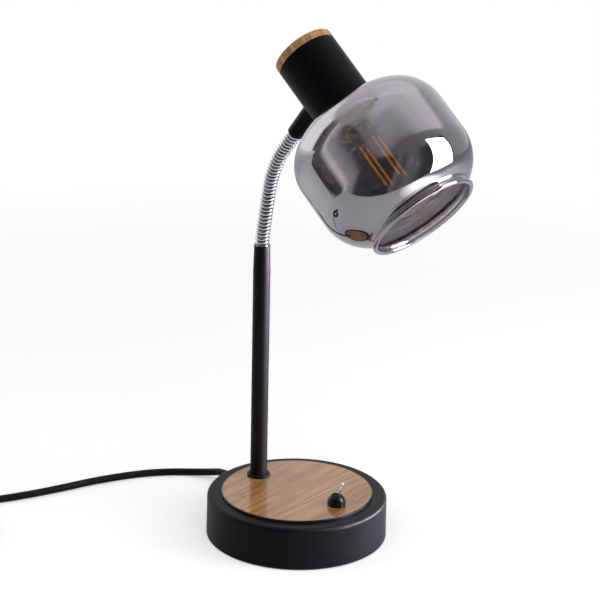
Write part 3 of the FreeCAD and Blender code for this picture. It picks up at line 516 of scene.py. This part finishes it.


def neck_line(s):
    """Place, direction and front of the neck's centre line at the distance s along it."""
    x, z, lean = POLE_X, POLE_TOP, 0.0
    if s <= 0:
        return Vector((x, 0, z + s)), Vector((0, 0, 1)), Vector((1, 0, 0))
    lengths = (NECK_STOPS[0], NECK_RUN, NECK_STOPS[2] - NECK_STOPS[1], math.inf)
    for length, bend in zip(lengths, (1 / NECK_BEND, 0.0, 1 / NECK_BEND, 0.0)):
        part = min(s, length)
        turned = lean + part * bend
        if bend:
            x += (math.cos(lean) - math.cos(turned)) / bend
            z += (math.sin(turned) - math.sin(lean)) / bend
        else:
            x += part * math.sin(lean)
            z += part * math.cos(lean)
        lean = turned
        s -= part
        if s <= 0:
            break
    along = Vector((math.sin(lean), 0, math.cos(lean)))
    front = Vector((math.cos(lean), 0, -math.sin(lean)))
    return Vector((x, 0, z)), along, front


def about(front, angle):
    """A direction square to the neck's or the head's axis, at an angle from its front."""
    return front * math.cos(angle) + Vector((0, 1, 0)) * math.sin(angle)


def add_tube(mesh, rings, material):
    """Joins rings of as many places each to a closed tube, from millimetres to metres."""
    rings = [[mesh.verts.new(place / 1000) for place in ring] for ring in rings]
    faces = [mesh.faces.new((first[j - 1], first[j], second[j], second[j - 1]))
             for first, second in zip(rings, rings[1:]) for j in range(len(first))]
    faces += [mesh.faces.new(list(reversed(rings[0]))), mesh.faces.new(rings[-1])]
    for face in faces:
        face.material_index = material
        face.smooth = True


def even_steps(low, high, step):
    """Stops from low to high that are evenly spaced, about a step apart."""
    count = max(2, round((high - low) / step))
    return [low + (high - low) * k / count for k in range(count + 1)]


def wire_ring(s, points=14):
    centre, along, front = neck_line(s)
    out = about(front, math.radians(START_ANGLE) + 2 * math.pi * s / PITCH)
    ring = []
    for j in range(points):
        turn = 2 * math.pi * j / points
        rise = math.copysign(abs(math.cos(turn)) ** RIB_FLATNESS, math.cos(turn))
        ring.append(centre + out * (WIND_R + RIB_DEPTH * rise)
                    + along * (RIB_WIDTH * math.sin(turn)))
    return ring


def core_ring(s, points=32):
    centre, _, front = neck_line(s)
    return [centre + about(front, 2 * math.pi * j / points) * CORE_R for j in range(points)]


neck_chrome = metal("chrome_winding", (0.70, 0.69, 0.74), 0.10)
# painted shade: the core, a real part under the winding, is drawn near black so the gaps between
# the ribs look shaded
neck_core_shade = metal("winding_core_painted_shade", (0.02, 0.02, 0.024), 0.45)


def add_neck():
    step = NECK_LENGTH / JOINTS
    for k in range(JOINTS):
        low = -NECK_SUNK if k == 0 else step * k
        high = NECK_LENGTH + NECK_SUNK if k == JOINTS - 1 else step * (k + 1)
        built = bmesh.new()
        add_tube(built, [wire_ring(s) for s in even_steps(low, high, PITCH / TURN_STEPS)], 0)
        add_tube(built, [core_ring(s) for s in even_steps(low, high, CORE_STEP)], 1)
        bmesh.ops.recalc_face_normals(built, faces=built.faces)
        mesh = bpy.data.meshes.new("gooseneck_%02d" % k)
        built.to_mesh(mesh)
        built.free()
        piece = new_piece("gooseneck_%02d" % k, mesh, [neck_chrome, neck_core_shade])
        joint = step * (k + 0.5)
        start, end = neck_line(joint - JOINT_REACH)[0], neck_line(joint + JOINT_REACH)[0]
        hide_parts("neck_coil_%02d" % k, "neck_coil_%02d" % (k + 1))
        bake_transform(piece)


add_neck()


# Glass shade: blown glass with a metallised outer face that mirrors least at the crown. Its
# outlines are points (r, z) in millimetres, out from the head's axis and along it from the cap.

HEAD_TILT = math.radians(41.2)
HEAD_ORIGIN = Vector((0.466, 0, 374.016))
HEAD_AXIS = Vector((math.cos(HEAD_TILT), 0, -math.sin(HEAD_TILT)))
TOP = 53.0
CROWN_RADII = (14.4, 20.0, 26.0)    # from the hole outwards
WALL = 2.2
SHADE_R = 59.5
SHOULDER_R = 30.2
SIDE = 29.3                # the straight run between the shoulder and the belly
BELLY_R = 34.8
NECK_HOLLOW = 3.0
LIP_R, LIP_BEAD, LIP_AT = 41.9, 1.8, 148.3
LIP_COATED = 4             # steps of the outline that the coating runs on round the lip
SHADE_SEGMENTS = 144


def along_arc(centre, radius, start, end, steps):
    """Points on an arc, without its first one. Angles in degrees, from outwards to the mouth."""
    points = []
    for k in range(1, steps + 1):
        angle = math.radians(start + (end - start) * k / steps)
        points.append((centre[0] + radius * math.cos(angle),
                       centre[1] + radius * math.sin(angle)))
    return points


def angle_of(centre, point):
    return math.degrees(math.atan2(point[1] - centre[1], point[0] - centre[0]))


def shade_outlines():
    """The outer and the inner outline, from the hole to the lip's tip."""
    shoulder = (SHADE_R - SHOULDER_R, TOP + SHOULDER_R)
    belly = (SHADE_R - BELLY_R, TOP + SHOULDER_R + SIDE)
    bead = (LIP_R - LIP_BEAD, LIP_AT)

    def crown_to_side(inset):
        points = [(r, TOP + inset) for r in (*CROWN_RADII, shoulder[0])]
        points += along_arc(shoulder, SHOULDER_R - inset, -90, 0, 26)
        points += [(SHADE_R - inset, shoulder[1] + SIDE * k / 6) for k in range(1, 7)]
        return points

    # outside, a hollow fillet runs from the belly to the bead
    first, second, apart = BELLY_R + NECK_HOLLOW, LIP_BEAD + NECK_HOLLOW, math.dist(belly, bead)
    share = (first ** 2 - second ** 2 + apart ** 2) / (2 * apart)
    off = math.sqrt(first ** 2 - share ** 2)
    ur, uz = (bead[0] - belly[0]) / apart, (bead[1] - belly[1]) / apart
    fillet = (belly[0] + ur * share + uz * off, belly[1] + uz * share - ur * off)
    outer = crown_to_side(0.0)
    outer += along_arc(belly, BELLY_R, 0, angle_of(belly, fillet), 30)
    outer += along_arc(fillet, NECK_HOLLOW, angle_of(fillet, belly) % 360,
                       angle_of(fillet, bead) % 360, 10)
    outer += along_arc(bead, LIP_BEAD, angle_of(bead, fillet), 90, 8)
    # inside, a curve runs from the belly to the bead's throat
    inner_r = BELLY_R - WALL
    throat = bead[0] - LIP_BEAD
    dz, dr = bead[1] - belly[1], throat - belly[0]
    curve = (dz ** 2 + dr ** 2 - inner_r ** 2) / (2 * (inner_r - dr))
    centre = (throat + curve, bead[1])
    inner = crown_to_side(WALL)
    inner += along_arc(belly, inner_r, 0, angle_of(belly, centre), 26)
    inner += along_arc(centre, curve, 180 + angle_of(belly, centre), 180, 8)
    inner += along_arc(bead, LIP_BEAD, 180, 90, 6)[:-1]
    return outer, inner


def head_place(r, turn, along):
    upper = Vector((math.sin(HEAD_TILT), 0, math.cos(HEAD_TILT)))
    return HEAD_ORIGIN + HEAD_AXIS * along + about(upper, turn) * r


# how strongly the coating mirrors, and its tint, by the share of the way from crown to lip. It
# stays the same past COATING_EVEN, so the stops beyond that only shape the curve up to it.
COATING = ((0.0, 0.68), (0.30, 0.75), (0.55, 0.89), (0.75, 0.87), (1.0, 0.87))
COATING_TINT = ((0.0, (0.47, 0.450, 0.497)), (0.30, (0.423, 0.404, 0.448)),
                (0.55, (0.343, 0.326, 0.367)))
COATING_EVEN = 100.0       # from the cap


def coated_glass():
    s = Shader("smoked_mirror_glass")
    origin = HEAD_ORIGIN.dot(HEAD_AXIS)
    along = s.fit(s.dot(s.at(), HEAD_AXIS), (origin + TOP) / 1000, (origin + COATING_EVEN) / 1000,
                  0.0, (COATING_EVEN - TOP) / (LIP_AT - TOP))
    cloud = s.fit(s.noise(s.at(), 14.0, 2.0), 0.3, 0.7, -0.02, 0.02)
    mirrors = s.maths("ADD", s.curve(along, COATING), cloud)
    s.set(Base_Color=s.ramp(along, *COATING_TINT), Metallic=mirrors, Transmission_Weight=1.0,
          Roughness=0.012, IOR=1.45)
    return s.let_lamps_through((0.88, 0.85, 0.85))


def turned_piece(name, outline, segments, shaders, grips=(), coated=None):
    """A closed outline turned round the head's axis.

    The rings whose numbers are in grips are fluted, and the faces past the number coated take
    the second shader.
    """
    built = bmesh.new()
    rings = []
    for k, (r, along) in enumerate(outline):
        depth = GRIP_DEPTH if k in grips else 0.0
        ring = []
        for j in range(segments):
            turn = 2 * math.pi * j / segments
            groove = depth * (0.5 - 0.5 * math.cos(GRIPS * turn))
            ring.append(built.verts.new(head_place(r - groove, turn, along) / 1000))
        rings.append(ring)
    for k, first in enumerate(rings):
        second = rings[(k + 1) % len(rings)]
        for j in range(segments):
            n = (j + 1) % segments
            face = built.faces.new((first[j], first[n], second[n], second[j]))
            face.material_index = 0 if coated is None or k < coated else 1
            face.smooth = True
    bmesh.ops.recalc_face_normals(built, faces=built.faces)
    mesh = bpy.data.meshes.new(name)
    built.to_mesh(mesh)
    built.free()
    mesh.set_sharp_from_angle(angle=math.radians(50))
    return new_piece(name, mesh, shaders)


GRIPS, GRIP_DEPTH = 24, 0.8         # round the shade ring's wide part
RING_OUTLINE = [(14.15, 55.35), (21.4, 55.35), (21.6, 55.7), (21.6, 57.9), (21.3, 58.3),
                (20.0, 58.5), (19.7, 58.8), (19.0, 62.2), (18.7, 62.5), (18.3, 62.6),
                (17.5, 65.9), (17.2, 66.2), (16.8, 66.3), (16.6, 67.6), (16.4, 68.4),
                (15.9, 68.9), (15.2, 68.9), (14.7, 68.5), (14.5, 67.8), (14.15, 67.4)]
RING_WIDE = range(1, 5)
RING_SEGMENTS = 192


def add_shade_ring():
    ring = turned_piece("shade_ring_cone", RING_OUTLINE, RING_SEGMENTS, [cream],
                        grips=RING_WIDE)
    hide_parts("shade_ring")
    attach(ring, "head")


add_shade_ring()


def add_shade():
    outer, inner = shade_outlines()
    piece = turned_piece("glass_shade", outer + list(reversed(inner)), SHADE_SEGMENTS,
                         [coated_glass(), inner_glass],
                         coated=len(outer) - 1 + LIP_COATED)
    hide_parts("shade_glass")
    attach(piece, "head")


add_shade()


# Stage, lamps and surroundings

FLOOR_REACH = 6.0
FLOOR_LIFT = 0.35          # lifts the paper to white where it is seen directly


def floor_paper():
    s = Shader("floor_paper")
    s.set(Base_Color=rgb(0.86, 0.86, 0.865), Roughness=0.9, Specular_IOR_Level=0.0)
    place = s.at()
    direct, mirrored = s.seen_directly(), s.path("Is Glossy Ray")
    # seen directly, the paper is white, and further out it runs into the white of the backdrop
    lift = s.maths("MULTIPLY", direct, FLOOR_LIFT)
    lit = s.add(s.surface.outputs[0], s.glow(rgb(1, 1, 1), lift))
    far = s.maths("MULTIPLY", s.fit(s.length(place), 0.45, 1.1, 0.0, 1.0), direct)
    ground = s.blend(far, lit, s.glow(rgb(1, 1, 1), 1.0))
    # mirrors see pools of light below the softboxes, and more light towards the back left
    pool = s.fit(s.distance(place, picture(0.58, -0.35, 0)), 0.12, 0.32, 3.0, 0.0)
    other = s.fit(s.distance(place, picture(-0.45, 0.18, 0)), 0.05, 0.45, 0.25, 0.0)
    behind = s.fit(s.dot(place, picture(-0.866, 0.5, 0)), 0.9, 4.0, 0.0, 0.85)
    pools = s.maths("ADD", s.maths("ADD", pool, other), behind)
    polished = s.blend(mirrored, ground, s.add(ground, s.glow(rgb(1, 0.98, 1), pools)))
    # past the table's front and left edges they see the studio
    front = s.dot(place, picture(0, -1, 0))
    left = s.fit(s.dot(place, picture(-0.789, 0.615, 0)), 0.49, 0.59, 0.0, 1.0)
    side = s.maths("MULTIPLY", s.fit(front, 0.01, 0.03, 0.0, 1.0), left)
    past = s.maths("MAXIMUM", side, s.fit(front, 0.565, 0.585, 0.0, 1.0))
    beyond = s.node("BsdfTransparent").outputs[0]
    s.put(s.output, "Surface", s.blend(s.maths("MULTIPLY", past, mirrored), polished, beyond))
    return s


def add_stage():
    mesh = bpy.data.meshes.new("floor")
    signs = (-1, -1), (1, -1), (1, 1), (-1, 1)
    mesh.from_pydata([(x * FLOOR_REACH, y * FLOOR_REACH, 0) for x, y in signs], [], [(0, 1, 2, 3)])
    mesh.materials.append(floor_paper().material)
    floor = bpy.data.objects.new("floor", mesh)
    scene.collection.objects.link(floor)


add_stage()


def add_softbox(name, place, target, size, power, color=(1, 1, 1), mirrored=False, lighting=True,
                only=()):
    """An area lamp, which faces its target.

    Mirrors show it if mirrored is on, it lights matt pieces if lighting is on, and it shines on
    all pieces or on the nodes in only.
    """
    data = bpy.data.lights.new(name, "AREA")
    data.shape = "RECTANGLE"
    data.size, data.size_y = size
    data.energy = power
    data.color = color
    lamp = bpy.data.objects.new(name, data)
    lamp.location = place
    lamp.rotation_mode = "QUATERNION"
    lamp.rotation_quaternion = (Vector(target) - Vector(place)).to_track_quat("-Z", "Y")
    lamp.visible_glossy = mirrored
    lamp.visible_diffuse = lighting
    if only:
        lit = bpy.data.collections.new(name + "_lights")
        for held in only:
            lit.objects.link(nodes[held])
        lamp.light_linking.receiver_collection = lit
    scene.collection.objects.link(lamp)


HEAD_MIDDLE = Vector((0.05, 0.0, 0.30))
RIGHT = picture(0.915, -0.139, 0.56)
BEHIND = picture(0.023, -0.033, 0)          # sets one of the two lamps there behind the other
FACING = RIGHT + picture(-0.576, 0.817, 0)
add_softbox("softbox_right", RIGHT + BEHIND, FACING, (0.70, 0.84), 7.2)
add_softbox("softbox_gleam", RIGHT, FACING, (0.70, 0.84), 26.0, (0.93, 0.89, 1.0),
            mirrored=True, lighting=False)
add_softbox("softbox_left", HEAD_MIDDLE + picture(-1.3, 0.1, 0.55), HEAD_MIDDLE, (0.50, 1.1), 3.0)
add_softbox("softbox_top", HEAD_MIDDLE + picture(0.05, -0.70, 1.05), HEAD_MIDDLE, (1.3, 1.0), 7.5)
# two strips of light that only the black lacquer takes up, along its right side and its upper rim
add_softbox("softbox_edge", picture(0.84, 0.05, 0.15), Vector((0, 0, 0.10)), (0.9, 0.28), 52.0,
            (0.92, 0.84, 1.0), mirrored=True, only=("base_shell", "pole_tube", "pole_flange"))
add_softbox("softbox_rim", picture(0.50, -0.30, 0.70), Vector((0, 0, 0.03)), (0.6, 0.35), 4.5,
            (0.92, 0.86, 1.0), mirrored=True, only=("base_shell",))


# What mirrors see of the studio, low and high up and where the ceiling panel has ended: the
# brightness by azimuth, in degrees from the camera's side towards the picture's right
LOW = ((-180, 0.9), (-150, 0.9), (-141, 1.6), (-106, 1.8), (-100, 1.4), (-96, 0.06), (-88, 0.03),
       (-84, 0.07), (-78, 0.07), (-75, 0.4), (-72, 0.95), (-68, 0.9), (-65, 0.55), (-60, 0.45),
       (-56, 0.33), (-52, 0.14), (-48, 0.03), (6, 0.03), (12, 0.22), (20, 0.08), (30, 0.22),
       (40, 0.2), (50, 0.08), (54, 0.05), (98, 0.05), (101, 0.5), (130, 0.6), (150, 0.85),
       (180, 0.9))
HIGH = ((-180, 1.1), (-146, 0.93), (-118, 0.9), (-98, 0.6), (-79, 0.38), (-52, 0.45), (-27, 0.30),
        (-18, 0.40), (-10, 0.58), (0, 0.72), (12, 0.85), (48, 0.95), (70, 0.95), (100, 1.0),
        (113, 1.2), (130, 1.25), (150, 1.2), (180, 1.1))
SHADED = ((-180, 0.3), (-30, 0.25), (0, 0.2), (50, 0.2), (75, 0.32), (91, 0.36), (107, 0.5),
          (130, 0.6), (180, 0.6))
BRIGHTEST = 4.0            # what the top of a curve stands for
LOW_ENDS, HIGH_BEGINS = math.sin(math.radians(33)), math.sin(math.radians(42))


def add_surroundings():
    world = bpy.data.worlds.new("studio")
    scene.world = world
    world.use_nodes = True
    world.node_tree.nodes.clear()
    s = Nodes(world.node_tree)
    way = s.node("TexCoord").outputs["Generated"]
    height = s.node("SeparateXYZ", Vector=way).outputs["Z"]
    azimuth = s.maths("ARCTAN2", s.dot(way, picture(1, 0, 0)), s.dot(way, picture(0, -1, 0)))
    azimuth = s.fit(azimuth, -math.pi, math.pi, 0.0, 1.0)

    def round_about(stops):
        curve = s.curve(azimuth, [((turn + 180) / 360, value / BRIGHTEST) for turn, value in stops],
                        straight=True)
        return s.maths("MULTIPLY", curve, BRIGHTEST)

    def background(color, strength):
        return s.node("Background", Color=rgb(*color), Strength=strength).outputs[0]

    # the ceiling panel ends in a straight edge towards the right front
    past = s.fit(s.dot(way, picture(0.639, -0.654, -0.405)), -0.06, 0.02, 0.0, 1.0,
                 interpolation_type="SMOOTHSTEP")
    rise = s.fit(height, LOW_ENDS, HIGH_BEGINS, 0.0, 1.0, interpolation_type="SMOOTHSTEP")
    high = s.between(past, round_about(HIGH), round_about(SHADED))
    both = s.between(rise, round_about(LOW), high)
    # mirrors see that, matt pieces a plain light, and the camera white
    light, studio = background((0.99, 0.98, 1.0), 0.38), background((1.0, 0.985, 1.0), both)
    unseen = s.blend(s.path("Is Glossy Ray"), light, studio)
    seen = s.blend(s.seen_directly(), unseen, background((1, 1, 1), 1.0))
    s.node("OutputWorld", Surface=seen)


add_surroundings()
